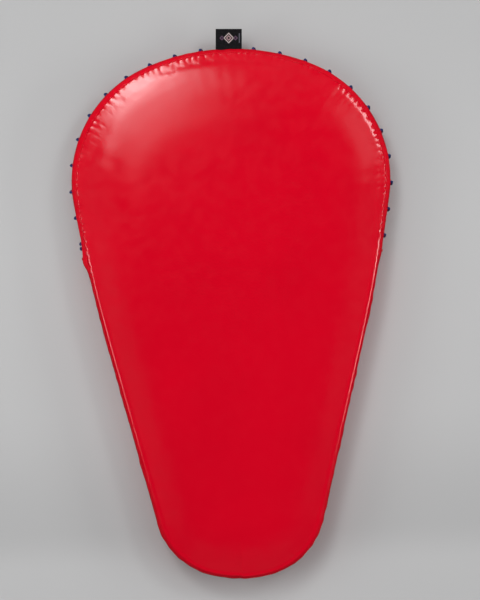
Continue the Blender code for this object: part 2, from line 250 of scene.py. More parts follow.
def outline_chain():
    """Right half of the outline, head to toe, as a chain of arcs and one straight side: the
    starts of its pieces, their start headings, turns per metre and lengths."""
    side = math.pi / 2 + SIDE_SLOPE
    haunch = side - HAUNCH_ARC
    toe = math.pi - TOE_ARC
    shoulder_half_width = arc_step(SHOULDER_RADIUS, HEAD_ARC, math.pi / 2)[0]
    head_radius = (WIDTH / 2 - shoulder_half_width) / math.sin(HEAD_ARC)
    arcs = [(head_radius, 0.0, HEAD_ARC), (SHOULDER_RADIUS, HEAD_ARC, haunch),
            (HAUNCH_RADIUS, haunch, side), (TOE_CORNER_RADIUS, side, toe)]
    left = np.array([0.0, TOE_Y - HEAD_Y]) - sum(arc_step(*arc) for arc in arcs)
    straight = np.array([math.cos(side), -math.sin(side)])
    straight_length, toe_radius = np.linalg.solve(
        np.stack([straight, arc_step(1.0, toe, math.pi)], axis=1), left)
    pieces = arcs[:3] + [(np.inf, side, side)] + arcs[3:] + [(toe_radius, toe, math.pi)]
    lengths = np.array([straight_length if r == np.inf else r * (b - a) for r, a, b in pieces])
    steps = [straight * straight_length if r == np.inf else arc_step(r, a, b) for r, a, b in pieces]
    starts = np.array([0.0, HEAD_Y]) + np.concatenate([np.zeros((1, 2)), np.cumsum(steps, axis=0)[:-1]])
    headings = np.array([start for _, start, _ in pieces])
    turns = np.array([1 / radius for radius, _, _ in pieces])
    return starts, headings, turns, lengths


CHAIN = outline_chain()
CHAIN_ENDS = np.cumsum(CHAIN[3])
HALF_LENGTH = CHAIN_ENDS[-1]


def outline(s):
    """Points and inward directions at lengths s along the outline from the head's middle,
    positive to the right: each length is found on its arc, and the left half is mirrored."""
    starts, headings, turns, lengths = CHAIN
    along = np.abs(s)
    piece = np.minimum(np.searchsorted(CHAIN_ENDS, along), len(lengths) - 1)
    run = along - (CHAIN_ENDS - lengths)[piece]
    start, turn = headings[piece], turns[piece]
    heading = start + run * turn
    bent = np.abs(turn) > 1e-9
    safe = np.where(bent, turn, 1.0)
    dx = np.where(bent, (np.sin(heading) - np.sin(start)) / safe, run * np.cos(start))
    dy = np.where(bent, (np.cos(heading) - np.cos(start)) / safe, -run * np.sin(start))
    side = np.where(s < 0, -1.0, 1.0)
    point = np.stack([side * (starts[piece, 0] + dx), starts[piece, 1] + dy], axis=-1)
    inward = np.stack([-side * np.sin(heading), -np.cos(heading)], axis=-1)
    return point, inward


def at_depth(s, depth, height):
    """Points at lengths s along the outline, at depths inwards from it and at heights."""
    point, inward = outline(s)
    flat = point + inward * depth[..., None]
    return np.concatenate([flat, np.broadcast_to(height, depth.shape)[..., None]], axis=-1)


def run_along(points):
    """Distance along each row of points from its first: the running sum of its steps."""
    steps = np.linalg.norm(np.diff(points, axis=-2), axis=-1)
    return np.concatenate([np.zeros_like(steps[..., :1]), np.cumsum(steps, axis=-1)], axis=-1)


def smooth_step(value, low, high):
    """0 up to low and 1 from high on, with a cubic that is level at both ends between."""
    t = np.clip((value - low) / (high - low), 0.0, 1.0)
    return t * t * (3 - 2 * t)


def ripple(position, length, seed, waves=9):
    """Smooth uneven wave between about -1 and 1: a sum of sines round the loop, with their
    lengths near the stated one and their phases drawn from the seed."""
    draw = np.random.default_rng(seed)
    counts = np.round(2 * HALF_LENGTH / (length * draw.uniform(0.6, 1.7, waves)))
    phases = draw.uniform(0, 2 * math.pi, waves)
    angle = math.pi * position / HALF_LENGTH
    return sum(np.sin(count * angle + phase) for count, phase in zip(counts, phases)) / math.sqrt(waves)


SEAM_Z = 48.0 * MM
HEAD_INSET, LEFT_INSET, RIGHT_INSET = 9.0 * MM, 4.2 * MM, 2.6 * MM
SEAM_SIN, SEAM_COS = math.sin(math.radians(60.0)), math.cos(math.radians(60.0))
FOOT_DEPTH = 16.0 * MM
ROLL_WIDTH = 36.0 * MM
SHELF_Z = 30.7 * MM
RIM_Z = 43.7 * MM
MOUTH_HALF = 517.5 * MM         # of the laced slit, each way from the head's middle
GROOVE_HALF = 12.2 * MM
CORNER_AT = 526.0 * MM          # of the cover's slack corners, past the ends of the slit
LEFT_CORNER, RIGHT_CORNER = (4.9 * MM, 16.0 * MM), (1.4 * MM, 15.0 * MM)   # height, half width
GATHER_PITCH = 13.0 * MM
GATHER_END = 640.0 * MM
GATHER_IN = 1.5 * MM            # how far a gather draws the seam's two sides
EDGE_STEPS = 1560               # of the edge's and the front's grids, round the outline


def hump(s, middle, half_width):
    """1 at the middle and dying away on both sides: the bell curve (Gaussian)."""
    return np.exp(-((s - middle) / half_width) ** 2)


def seam_inset(s):
    """Depth of the seam inside the outline, easing from the head's value to the side's, and
    drawn in a little further over the left shoulder."""
    drawn_in = 2.4 * MM * hump(s, -270 * MM, 130 * MM)
    side = np.where(s < 0, LEFT_INSET, RIGHT_INSET)
    return HEAD_INSET + drawn_in + (side - HEAD_INSET) * smooth_step(np.abs(s), 400 * MM, 590 * MM)


def gathers(s):
    """Puckers where the front is eased onto the edge: round bulges about 13 mm apart, with
    sharp valleys between them, uneven in width and height, strongest beside the mouth's left
    end and fading below the shoulders."""
    phase = math.pi * s / GATHER_PITCH + 0.9 * ripple(s, 70 * MM, 3)
    strength = 1 - smooth_step(np.abs(s), MOUTH_HALF, GATHER_END)
    strength = strength * (0.8 + 0.3 * ripple(s, 60 * MM, 5)) * np.where(s > 0, 1.1, 1.0)
    strength = strength * (1 + 0.9 * hump(s, -450 * MM, 80 * MM))
    return strength * (np.abs(np.sin(phase)) ** 0.7 - 0.6)


def corner_bump(s):
    """The cover's slack corners at the two ends of its mouth, which stand out a little."""
    left = LEFT_CORNER[0] * hump(s, -CORNER_AT, LEFT_CORNER[1])
    right = RIGHT_CORNER[0] * hump(s, CORNER_AT, RIGHT_CORNER[1])
    return left + right


def edge_depth(rise, inset):
    """Depth of the rounded edge at a height above or below its crest: a quarter ellipse,
    as deep as the seam's inset needs above, and as deep as the foot below."""
    depth = np.where(rise >= 0, inset / (1 - SEAM_COS), FOOT_DEPTH)
    height = np.where(rise >= 0, (SEAM_Z - CREST_Z) / SEAM_SIN, CREST_Z)
    return depth * (1 - np.sqrt(np.clip(1 - (rise / height) ** 2, 0, 1)))


def surface(name, points, uv, around=False, across=False):
    """Mesh on a grid of points. around joins the last row to the first, across the last
    column to the first; uv has one more row or column there, so that the map doesn't jump."""
    rows, columns = points.shape[:2]
    row, column = np.meshgrid(np.arange(rows - (not around)), np.arange(columns - (not across)),
                              indexing="ij")
    corners = [(row, column), (row + 1, column), (row + 1, column + 1), (row, column + 1)]
    faces = np.stack([(r % rows) * columns + c % columns for r, c in corners], axis=-1).reshape(-1, 4)
    maps = np.stack([uv[r, c] for r, c in corners], axis=2).reshape(-1, 2)
    return quads(name, points, faces, maps)


def quads(name, points, faces, maps):
    """Mesh of four-sided faces, each with its own corners of the map."""
    mesh = bpy.data.meshes.new(name)
    mesh.vertices.add(points.size // 3)
    mesh.vertices.foreach_set("co", points.reshape(-1).astype(np.float32))
    mesh.loops.add(faces.size)
    mesh.loops.foreach_set("vertex_index", faces.reshape(-1).astype(np.int32))
    mesh.polygons.add(len(faces))
    mesh.polygons.foreach_set("loop_start", (np.arange(len(faces)) * 4).astype(np.int32))
    mesh.uv_layers.new(name="cloth").data.foreach_set("uv", maps.reshape(-1).astype(np.float32))
    mesh.update(calc_edges=True)
    mesh.validate()
    return mesh


def piece(name, meshes, finish, body="root"):
    """One object from one or more meshes: doubles merged, faces turned out, shaded smooth."""
    shape = bmesh.new()
    for mesh in meshes:
        shape.from_mesh(mesh)
        bpy.data.meshes.remove(mesh)
    bmesh.ops.remove_doubles(shape, verts=shape.verts, dist=1e-6)
    bmesh.ops.dissolve_degenerate(shape, edges=shape.edges, dist=1e-6)
    bmesh.ops.recalc_face_normals(shape, faces=shape.faces)
    mesh = bpy.data.meshes.new(name)
    shape.to_mesh(mesh)
    shape.free()
    mesh.shade_smooth()
    mesh.materials.append(finish)
    made = bpy.data.objects.new(name, mesh)
    bpy.context.scene.collection.objects.link(made)
    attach(made, body)
    return made


def edge_surface():
    """Closed section of the edge, carried round the outline. From the seam it follows the
    ellipse to the mouth's lip, dips into the groove where there is one, follows the ellipse
    down to the flat foot, and comes back up the inner wall and the shelf under the front."""
    s = np.linspace(-HALF_LENGTH, HALF_LENGTH, EDGE_STEPS, endpoint=False)[:, None]
    inset = seam_inset(s)
    pucker = gathers(s)
    open_mouth = 1 - smooth_step(np.abs(s), MOUTH_HALF - 1 * MM, MOUTH_HALF + 3 * MM)

    upper = np.linspace(SEAM_Z - CREST_Z, GROOVE_HALF + 0.9 * MM, 20)
    lip = np.linspace(GROOVE_HALF + 0.5 * MM, -GROOVE_HALF - 0.5 * MM, 13)
    lower = -np.linspace(GROOVE_HALF + 0.9 * MM, CREST_Z, 16)
    rise = np.concatenate([upper, lip, lower])[None, :]
    depth = edge_depth(rise, inset)
    fade = smooth_step(rise, GROOVE_HALF, SEAM_Z - CREST_Z)
    depth = depth - GATHER_IN * pucker * fade ** 1.5
    fold = ripple(s, 34 * MM, 11) * 0.35 * MM + ripple(s, 140 * MM, 12) * 0.5 * MM
    fold = fold * smooth_step(np.abs(rise), 0, 8 * MM)
    depth = depth + fold * (1 - smooth_step(-rise, 14 * MM, 24 * MM))
    height = CREST_Z + rise + 0 * s

    half_floor = np.array([0.9, 3.0, 5.5, 7.4, 7.7, 7.7, 7.7])
    floor_depth = np.concatenate([half_floor, half_floor[-2::-1]]) * MM
    half_wall = np.array([12.45, 12.2, 12.2, 11.6, 9.5, 5.0, 0.0])
    wall_rise = np.concatenate([half_wall, -half_wall[-2::-1]]) * MM
    inside = slice(len(upper), len(upper) + len(lip))
    lip_depth = edge_depth(np.full_like(s, GROOVE_HALF), inset)
    groove = np.maximum(floor_depth[None, :], lip_depth * (floor_depth[None, :] < 1 * MM) + 0.5 * MM)
    depth[:, inside] += (groove - depth[:, inside]) * open_mouth
    height[:, inside] += (CREST_Z + wall_rise[None, :] - height[:, inside]) * open_mouth
    bulge = 0.9 * MM * open_mouth * smooth_step(np.abs(rise), 8 * MM, 13 * MM) + corner_bump(s)
    depth = depth - bulge * (1 - smooth_step(np.abs(rise), 12 * MM, 25 * MM))

    back = np.array([(20.0, 0.0), (28.0, 0.0), (33.2, 0.0), (35.0, 0.5), (35.9, 1.8), (36.0, 5.0),
                     (36.0, 14.0), (36.0, 24.0), (36.0, 30.7)]) * MM
    shelf = np.linspace(0.15, 1.0, 6)[None, :]
    depth = np.concatenate([depth, np.broadcast_to(back[:, 0], (len(s), len(back))),
                            ROLL_WIDTH + (inset - ROLL_WIDTH) * shelf], axis=1)
    height = np.concatenate([height, np.broadcast_to(back[:, 1], (len(s), len(back))),
                             SHELF_Z + (RIM_Z - SHELF_Z) * shelf + 0 * s], axis=1)
    points = at_depth(np.broadcast_to(s, depth.shape), depth, height)
    girth = run_along(np.concatenate([points, points[:, :1]], axis=1))
    across = np.concatenate([girth, girth[:1]], axis=0)
    length = np.linspace(-HALF_LENGTH, HALF_LENGTH, len(s) + 1)[:, None] + 0 * across
    return surface("edge", points, np.stack([length, across], axis=-1), around=True, across=True)


def coated_cloth(name, colour, deep_colour, roughness, gloss):
    """Coated cloth: a smooth glossy skin over a fine square scrim, a little uneven in tone
    and gloss, with tiny dimples where the scrim shows through."""
    finish, shader, place, _ = finish_of(name, roughness, Specular_IOR_Level=gloss)
    place.noise(7.0).rise(0.3, 0.7).tint(deep_colour, colour).feed(shader, "Base Color")
    wear = place.noise(55.0, 4.0).rise(0.3, 0.7, roughness - 0.02, roughness + 0.04)
    wear.feed(shader, "Roughness")
    scrim = place.part("X").wave(1.1 * MM) * place.part("Y").wave(1.1 * MM)
    crease = place.noise(45.0, 3.0).bump(0.1 * MM)
    (scrim * 0.5).bump(0.008 * MM, crease).feed(shader, "Normal")
    return finish


# The edge's red is a little lighter than the front's, though they are one cloth: painted light, so that the
# steep rounded edge, which gets less light, reads as bright as the front.
edge_finish = coated_cloth("glossy_red_edge_cloth", (0.70, 0.0008, 0.0140), (0.64, 0.0006, 0.012),
                           0.22, 0.28)
padded_edge = piece("padded_edge", [edge_surface()], edge_finish)
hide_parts("edge_roll")


# ---- Padded front -------------------------------------------------------------------------
# The front of the cover, one piece of red coated cloth drawn over a foam block. It is flat in
# the middle, rounds off towards the edge, and is gathered onto the edge band at the seam.

CROWN_Z = 62.0 * MM
HEAD_DOME, SIDE_DOME = 138.0 * MM, 95.0 * MM
AXIS_HEAD, AXIS_TOE = 245.0 * MM, 125.0 * MM    # of the foam's long axis from head and toe


def front_height(run, s):
    """Height of the front at a distance in from the seam, as the running sum of its slope: a
    gentle slope over the dome, a steeper one that dies away beside the seam, a tight roll-over
    on the sides, and a short one right of the head. Each line is scaled to rise from the seam
    to the crown."""
    aside = smooth_step(np.abs(s), 430 * MM, 600 * MM)
    dome = HEAD_DOME + (SIDE_DOME - HEAD_DOME) * aside
    slope = 0.10 * (1 - smooth_step(run, 0.2 * dome, dome))
    slope = slope + (0.13 - 0.09 * aside) * (1 - smooth_step(run, 4 * MM, 48 * MM))
    slope = slope + 0.66 * aside * (1 - smooth_step(run, 1.8 * MM, 5.5 * MM))
    right_head = smooth_step(s, 60 * MM, 200 * MM) * (1 - aside)
    slope = slope + 0.17 * right_head * (1 - smooth_step(run, 4 * MM, 13 * MM))
    step = np.diff(run, axis=1, prepend=run[:, :1])
    middle = (slope + np.roll(slope, 1, axis=1)) / 2
    climb = np.cumsum(middle * step, axis=1)
    return SEAM_Z + (CROWN_Z - SEAM_Z) * climb / climb[:, -1:]


def lines_to_axis(s, reach, depth):
    """Points on lines that start square to the outline, at a depth inside it, and bend to the
    long axis, a share of the way along each: a cubic with those end slopes (Hermite). Their
    ends on the axis move evenly from head to toe."""
    point, inward = outline(s)
    rim = point + inward * np.broadcast_to(depth, s.shape)[..., None]
    share = np.abs(s) / HALF_LENGTH
    axis_y = (HEAD_Y - AXIS_HEAD) + (TOE_Y + AXIS_TOE - HEAD_Y + AXIS_HEAD) * share ** 1.25
    axis = np.stack([0 * axis_y, axis_y], axis=-1)
    span = np.linalg.norm(axis - rim, axis=-1, keepdims=True)
    t = reach[..., None]
    leave, arrive = inward * span * 1.15, (axis - rim) * 0.9
    return (rim * (2 * t ** 3 - 3 * t ** 2 + 1) + leave * (t ** 3 - 2 * t ** 2 + t)
            + axis * (3 * t ** 2 - 2 * t ** 3) + arrive * (t ** 3 - t ** 2))


SETTLE_ROWS, SETTLE_FRAMES = 780, 20
SETTLE_CAP = 0.9 * MM


def settled(points, run, s):
    """How the loose cloth moves when it settles on the foam, by cloth simulation. points is a
    coarse grid of the front. Its seam and its axis are held, a little pressure fills it, and
    beside the seam it grows by 2.5%, for the cloth that is eased in there, so that it buckles.
    A move longer than the cap is shortened to it, and moves fade out towards the middle."""
    mesh = surface("settling", points, np.zeros((len(points) + 1, points.shape[1], 2)), around=True)
    cloth = bpy.data.objects.new("settling", mesh)
    bpy.context.scene.collection.objects.link(cloth)
    order = np.arange(points.shape[0] * points.shape[1]).reshape(points.shape[:2])
    held = cloth.vertex_groups.new(name="held")
    held.add(np.concatenate([order[:, 0], order[:, -1]]).tolist(), 1.0, "REPLACE")
    eased = cloth.vertex_groups.new(name="eased")
    mouth = np.abs(s[:, 0]) < GATHER_END
    for column in range(points.shape[1]):
        share = float(np.exp(-(np.median(run[:, column]) / (12 * MM)) ** 2))
        eased.add(order[mouth, column].tolist(), share, "REPLACE")
    modifier = cloth.modifiers.new("settle", "CLOTH")
    modifier.settings.quality = 6
    modifier.settings.mass = 0.2
    modifier.settings.bending_stiffness = 0.4
    modifier.settings.vertex_group_mass = "held"
    modifier.settings.vertex_group_shrink = "eased"
    modifier.settings.shrink_max = -0.025
    modifier.settings.use_pressure = True
    modifier.settings.uniform_pressure_force = 0.3
    modifier.settings.effector_weights.gravity = 0
    scene = bpy.context.scene
    for moment in range(1, SETTLE_FRAMES + 1):
        scene.frame_set(moment)
    result = cloth.evaluated_get(bpy.context.evaluated_depsgraph_get()).to_mesh()
    moved = np.empty(points.size, dtype=np.float32)
    result.vertices.foreach_get("co", moved)
    bpy.data.objects.remove(cloth)
    bpy.data.meshes.remove(mesh)
    scene.frame_set(1)
    move = moved.reshape(points.shape) - points
    length = np.linalg.norm(move, axis=-1, keepdims=True)
    fade = 1 - smooth_step(run, 8 * MM, 50 * MM)
    return move * np.minimum(1, SETTLE_CAP / np.maximum(length, 1e-9)) * fade[..., None]


def spread(values, rows, columns):
    """Values on a coarse grid carried to a finer one: straight-line shares between the two
    nearest rows, round the loop, and the two nearest columns."""
    row = np.arange(rows) * len(values) / rows
    low = np.floor(row).astype(int)
    share = (row - low)[:, None, None]
    values = values[low] * (1 - share) + values[(low + 1) % len(values)] * share
    left = np.clip(np.floor(columns).astype(int), 0, values.shape[1] - 2)
    share = (columns - left)[None, :, None]
    return values[:, left] * (1 - share) + values[:, left + 1] * share


def front_top(rows, reach):
    """The front's upper side before it settles: the lines to the axis at their heights, with
    puckers that die out about 4 mm from the seam and long shallow folds beyond them."""
    s = np.linspace(-HALF_LENGTH, HALF_LENGTH, rows, endpoint=False)[:, None]
    s_all, reach_all = np.broadcast_arrays(s, reach[None, :])
    flat = lines_to_axis(s_all, reach_all, seam_inset(s_all))
    run = run_along(flat)
    height = front_height(run, s)
    pucker = gathers(s)
    height = height + 1.0 * MM * pucker * np.exp(-run / (4 * MM)) * smooth_step(run, -3 * MM, 2 * MM)
    long_fold = ripple(s, 40 * MM, 21) * (1 - smooth_step(np.abs(s), 420 * MM, 620 * MM))
    height = height + 0.16 * MM * long_fold * np.exp(-run / (32 * MM)) * smooth_step(run, 0, 10 * MM)
    _, inward = outline(s)
    flat = flat - inward * (GATHER_IN * pucker * np.exp(-run / (4 * MM)))[..., None]
    return s, np.concatenate([flat, height[..., None]], axis=-1), run


def plan_surface(name, points):
    """Surface on rows that go round the loop, mapped in plan by its own X and Y."""
    uv = points[..., :2]
    return surface(name, points, np.concatenate([uv, uv[:1]], axis=0), around=True)


def front_surface():
    """Top of the front on those lines, then its upright rim and its flat underside."""
    reach = np.concatenate([np.linspace(0, 0.06, 12)[:-1], np.linspace(0.06, 0.22, 14)[:-1],
                            np.linspace(0.22, 0.62, 14)[:-1], np.linspace(0.62, 1.0, 6)])
    s, top, _ = front_top(EDGE_STEPS, reach)
    few = np.concatenate([np.linspace(0, 0.08, 9)[:-1], np.linspace(0.08, 0.4, 10)[:-1],
                          np.linspace(0.4, 1.0, 7)])
    coarse_s, coarse, run = front_top(SETTLE_ROWS, few)
    columns = np.interp(reach, few, np.arange(len(few)))
    top = top + spread(settled(coarse, run, coarse_s), EDGE_STEPS, columns)

    rim_height = np.array([47.0, 45.5, 44.0]) * MM
    rim_depth = seam_inset(s) + 0.3 * MM + 0 * rim_height[None, :]
    rim = at_depth(np.broadcast_to(s, rim_depth.shape), rim_depth, rim_height)
    under_depth = np.array([ROLL_WIDTH, ROLL_WIDTH + 30 * MM])[None, :] + 0 * s
    under = at_depth(np.broadcast_to(s, under_depth.shape), under_depth, SHELF_Z + 0.3 * MM)
    axis_under = top[:, -1:].copy()
    axis_under[..., 2] = SHELF_Z + 0.3 * MM
    return plan_surface("front", np.concatenate([top[:, ::-1], rim, under, axis_under], axis=1))


front_finish = coated_cloth("glossy_red_front_cloth", (0.66, 0.0006, 0.0140), (0.63, 0.0005, 0.0132),
                            0.15, 0.55)
padded_front = piece("padded_front", [front_surface()], front_finish)
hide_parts("face_pad")


# ---- Seam thread --------------------------------------------------------------------------
# Red thread in the valley between front and edge. One stitch is about 3 mm long, and each
# goes down beside the next, so that they pull the gathers tight.

def unit(vectors):
    """Each vector divided by its own length."""
    return vectors / np.linalg.norm(vectors, axis=-1, keepdims=True)


def stitches(name, starts, ends, up, radius, arch):
    """Stitches as short tubes from starts to ends, each arched towards up by a half sine. A
    tube's radius follows the fourth-power ellipse, so its ends close in points."""
    rings, sides = 6, 6
    t = np.linspace(0, 1, rings)[None, :, None, None]
    turn = (2 * math.pi * np.arange(sides) / sides)[None, None, :, None]
    run = (ends - starts)[:, None, None, :]
    rise = unit(up)[:, None, None, :]
    side = unit(np.cross(run, rise))
    centre = starts[:, None, None, :] + run * t + rise * arch * np.sin(math.pi * t)
    girth = radius * np.sqrt(np.clip(1 - (2 * t - 1) ** 4, 0, 1))
    points = centre + girth * (np.cos(turn) * side + np.sin(turn) * rise)
    stitch, ring, here = np.meshgrid(np.arange(len(starts)), np.arange(rings - 1),
                                     np.arange(sides), indexing="ij")
    following = (here + 1) % sides
    row = (stitch * rings + ring) * sides
    faces = np.stack([row + here, row + following, row + sides + following, row + sides + here],
                     axis=-1).reshape(-1, 4)
    return quads(name, points, faces, np.zeros((faces.size, 2)))


def thread_finish(name, colour):
    """Spun thread: even colour with a fine uneven fibre grain."""
    finish, shader, place, _ = finish_of(name, 0.55, Specular_IOR_Level=0.3)
    grain = place.noise(900.0, 2.0)
    dark = tuple(0.75 * part for part in colour)
    grain.rise(0.35, 0.65).tint(dark, colour).feed(shader, "Base Color")
    grain.bump(0.1 * MM).feed(shader, "Normal")
    return finish


STITCH_PITCH, STITCH_SHARE = 3.6 * MM, 0.82     # the share of the pitch that shows
THREAD_RADIUS = 0.35 * MM


def on_seam(s):
    """Points in the bottom of the seam's valley, a little inside the gathered edge."""
    return at_depth(s, seam_inset(s) - 1.2 * MM * gathers(s) - 0.2 * MM, SEAM_Z + 0.05 * MM)


count = round(2 * HALF_LENGTH / STITCH_PITCH)
begin = -HALF_LENGTH + 2 * HALF_LENGTH * np.arange(count) / count
# The thread's red is lighter than the cloth's: painted light, so that the stitches in the shaded valley of
# the seam don't read as a dark line.
red_thread = thread_finish("red_seam_thread", (0.80, 0.003, 0.016))
seam_up = np.broadcast_to([0.0, 0.0, 1.0], (count, 3))
seam_row = stitches("seam", on_seam(begin), on_seam(begin + STITCH_SHARE * STITCH_PITCH), seam_up,
                    THREAD_RADIUS, 0.1 * MM)
seam_thread = piece("seam_thread", [seam_row], red_thread)


# ---- Hems of the mouth --------------------------------------------------------------------
# The two edges of the laced mouth are folded strips of the cover, 2 mm thick. Each has a row
# of topstitching and worked eyelets, through which the cord goes. The lacing draws them close.

LACING_PITCH = 45.0 * MM
STATIONS = np.arange(-11, 12) * LACING_PITCH
HEM_INNER, HEM_OUTER, HEM_THICKNESS = 3.0 * MM, 11.9 * MM, 2.0 * MM
HEM_PROUD = 0.3 * MM            # how far the folded cloth stands out of the rounded edge
STITCH_RISE = 10.7 * MM         # of the topstitching above or below the crest
HOLE_OFFSET = 8.0 * MM
CORD_SLANT = 1.8 * MM


def on_edge(s, rise, lift=0.0):
    """Points on the rounded edge at rises above its crest, or lifted off it."""
    depth = edge_depth(rise, seam_inset(s)) - corner_bump(s) - HEM_PROUD - lift
    return at_depth(s, depth, CREST_Z + rise)


def edge_up(s, rise):
    """Direction straight out of the rounded edge: the cross product of its two tangents."""
    small = 0.1 * MM
    along = on_edge(s + small, rise) - on_edge(s - small, rise)
    around = on_edge(s, rise + small) - on_edge(s, rise - small)
    out = unit(np.cross(along, around))
    _, inward = outline(s)
    facing = np.sum(out[..., :2] * inward, axis=-1, keepdims=True)
    return out * -np.sign(facing)


def pinched(points):
    """The grid with its first and last row closed on the middle line of the loop."""
    closed = points.copy()
    closed[0] = (points[0] + points[0, ::-1]) / 2
    closed[-1] = (points[-1] + points[-1, ::-1]) / 2
    return closed


def hem_surface(side):
    """Folded strip: a rounded loop of rises, out along the edge's ellipse and back 2 mm
    further in, with a slight dent under the topstitching. Its free edge bows away from the
    slit between the crossings."""
    half = MOUTH_HALF - 0.4 * MM
    s = np.concatenate([[-half], np.linspace(-half + 0.3 * MM, half - 0.3 * MM, 900), [half]])[:, None]
    t = np.linspace(0, 1, 13)[None, :]
    slack = 0.5 * MM * (1 - np.cos(2 * math.pi * (s + side * CORD_SLANT) / LACING_PITCH)) / 2
    rise = HEM_INNER + slack + (HEM_OUTER - HEM_INNER - slack) * t
    plump = np.sqrt(np.clip(1 - (2 * t - 1) ** 6, 0, 1))
    middle = edge_depth(rise, seam_inset(s)) + HEM_THICKNESS / 2 - corner_bump(s) * 0.9 - HEM_PROUD
    thick = HEM_THICKNESS / 2 * plump * (1 - 0.12 * hump(rise, 10.2 * MM, 0.7 * MM))
    depth = np.concatenate([middle - thick, (middle + thick)[:, ::-1]], axis=1)
    height = CREST_Z + side * np.concatenate([rise, rise[:, ::-1]], axis=1)
    points = pinched(at_depth(np.broadcast_to(s, depth.shape), depth, height))
    girth = np.concatenate([rise, 2 * HEM_OUTER - rise[:, ::-1]], axis=1)
    girth = np.concatenate([girth, girth[:, -1:] + MM], axis=1)
    return surface("hem", points, np.stack([s + 0 * girth, girth], axis=-1), across=True)


def eyelets(side):
    """Worked eyelets: a ring of 16 radial stitches round each lacing hole."""
    turn = 2 * math.pi * np.arange(16) / 16
    s = (STATIONS[:, None] - side * CORD_SLANT + 0 * turn).reshape(-1)
    turn = np.broadcast_to(turn, (len(STATIONS), 16)).reshape(-1)
    height = np.full_like(s, side * HOLE_OFFSET)
    ends = [on_edge(s + size * np.cos(turn), height + size * np.sin(turn), 0.05 * MM)
            for size in (2.1 * MM, 3.7 * MM)]
    return stitches("eyelets", ends[0], ends[1], edge_up(s, height), 0.42 * MM, 0.35 * MM)


def topstitch(side):
    """Row of stitches along the hem, 3.2 mm long at every 4.2 mm, clear of the eyelets."""
    s = np.arange(-MOUTH_HALF + 3 * MM, MOUTH_HALF - 4 * MM, 4.2 * MM)
    height = np.full_like(s, side * STITCH_RISE)
    return stitches("row", on_edge(s, height), on_edge(s + 3.2 * MM, height), edge_up(s, height),
                    THREAD_RADIUS, 0.25 * MM)


def woven_cloth(name, colour, dark, pitch, roughness):
    """Plain weave on the piece's own map: squares where one thread or the other is on top,
    with each thread's rounding between its neighbours, and a soft unevenness."""
    finish, shader, place, cloth = finish_of(name, roughness, Specular_IOR_Level=0.25)
    over = cloth.part("X").wave(2 * pitch) * cloth.part("Y").wave(2 * pitch) * 0.5 + 0.5
    # The tone is partly a random unevenness and partly painted shade: it is darkest where the weave is
    # lowest.
    tone = place.noise(60.0).rise(0.3, 0.7, 0.75, 1.0) * over.rise(0.1, 0.7, 0.7, 1.0)
    tone.tint(dark, colour).feed(shader, "Base Color")
    over.bump(0.12 * pitch, place.noise(400.0).bump(0.1 * MM)).feed(shader, "Normal")
    return finish


hem_finish = woven_cloth("dull_red_hem_tape", (0.40, 0.0025, 0.014), (0.20, 0.0012, 0.008),
                         0.7 * MM, 0.55)
for name, side in (("front_hem", 1), ("rear_hem", -1)):
    strip = piece(name + "_strip", [hem_surface(side)], hem_finish)
    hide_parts(name)
    sewing = piece(name + "_sewing", [eyelets(side), topstitch(side)], red_thread)


# ---- Lacing cord --------------------------------------------------------------------------
# One braided blue cord, 4 mm thick. At each crossing it slants over the mouth between a front
# and a rear eyelet, and it runs on inside the groove. Its left end is knotted outside, and its
# right end is knotted inside the mouth.

# These three are in millimetres, as the corners of the route are.
CORD_RADIUS = 2.0
KNOT_OFFSET = 8.2
TUCKED_KNOT_OFFSET = 12.0


def cord_route():
    """The cord's corners as (along, depth, rise) in metres, and its radius at each."""
    slant = CORD_SLANT / MM
    half = np.array([(-6.5, 4.9, 5.6), (-3.0, 5.0, 7.8), (-slant, 1.6, 8.0), (-slant * 0.8, -1.9, 6.2),
                     (-slant * 0.3, -2.5, 2.6)])
    crossing = np.concatenate([half, half[::-1] * (-1, 1, -1)])
    knot = np.array([(0, -5.4, 0), (0, -4.4, 0), (0, -2.6, 0), (0, -1.2, 0), (0, 1.2, 0), (0.6, 4.2, 1.2)])
    tucked = np.array([(-3.0, 5.0, -2.4), (-1.5, 4.9, -0.6), (0, 4.9, 0), (1.5, 4.9, 0)])
    crossings = crossing[None] + STATIONS[:, None, None] / MM * np.array([1.0, 0, 0])
    route = np.concatenate([knot + (STATIONS[0] / MM - KNOT_OFFSET, 0, 0), crossings.reshape(-1, 3),
                            tucked + (STATIONS[-1] / MM + TUCKED_KNOT_OFFSET, 0, 0)])
    girth = np.concatenate([[1.6, 2.9, 3.4, 2.4, CORD_RADIUS, CORD_RADIUS],
                            np.full(crossings.size // 3, CORD_RADIUS), [CORD_RADIUS, 2.4, 2.6, 1.7]])
    return route * MM, girth * MM


def smooth_line(corners, steps):
    """Curve through all the corners: on each span a cubic whose end slopes are half the
    distance between the corners on either side (Catmull-Rom)."""
    padded = np.concatenate([2 * corners[:1] - corners[1:2], corners, 2 * corners[-1:] - corners[-2:-1]])
    before, start, end, after = (padded[i:len(padded) - 3 + i, None] for i in range(4))
    t = (np.arange(steps) / steps)[None, :, None]
    curve = 0.5 * (2 * start + (end - before) * t + (2 * before - 5 * start + 4 * end - after) * t ** 2
                   + (3 * start - before - 3 * end + after) * t ** 3)
    return np.concatenate([curve.reshape(-1, corners.shape[1]), corners[-1:]])


def tube(line, girth, steady, sides):
    """Round tube along a line: each ring is square to it, and starts from the direction
    square to a steady one that the line never follows. Its two ends are closed on the line."""
    along = unit(np.gradient(line, axis=0))
    across = unit(np.cross(along, steady))
    other = np.cross(along, across)
    turn = 2 * math.pi * np.arange(sides) / sides
    ring = np.cos(turn)[None, :, None] * across[:, None] + np.sin(turn)[None, :, None] * other[:, None]
    girth = girth.copy()
    girth[[0, -1]] = 0
    turns = np.arange(sides + 1) / sides
    uv = np.stack(np.broadcast_arrays(run_along(line)[:, None], turns[None, :]), axis=-1)
    return surface("tube", line[:, None] + ring * girth[:, None, None], uv, across=True)


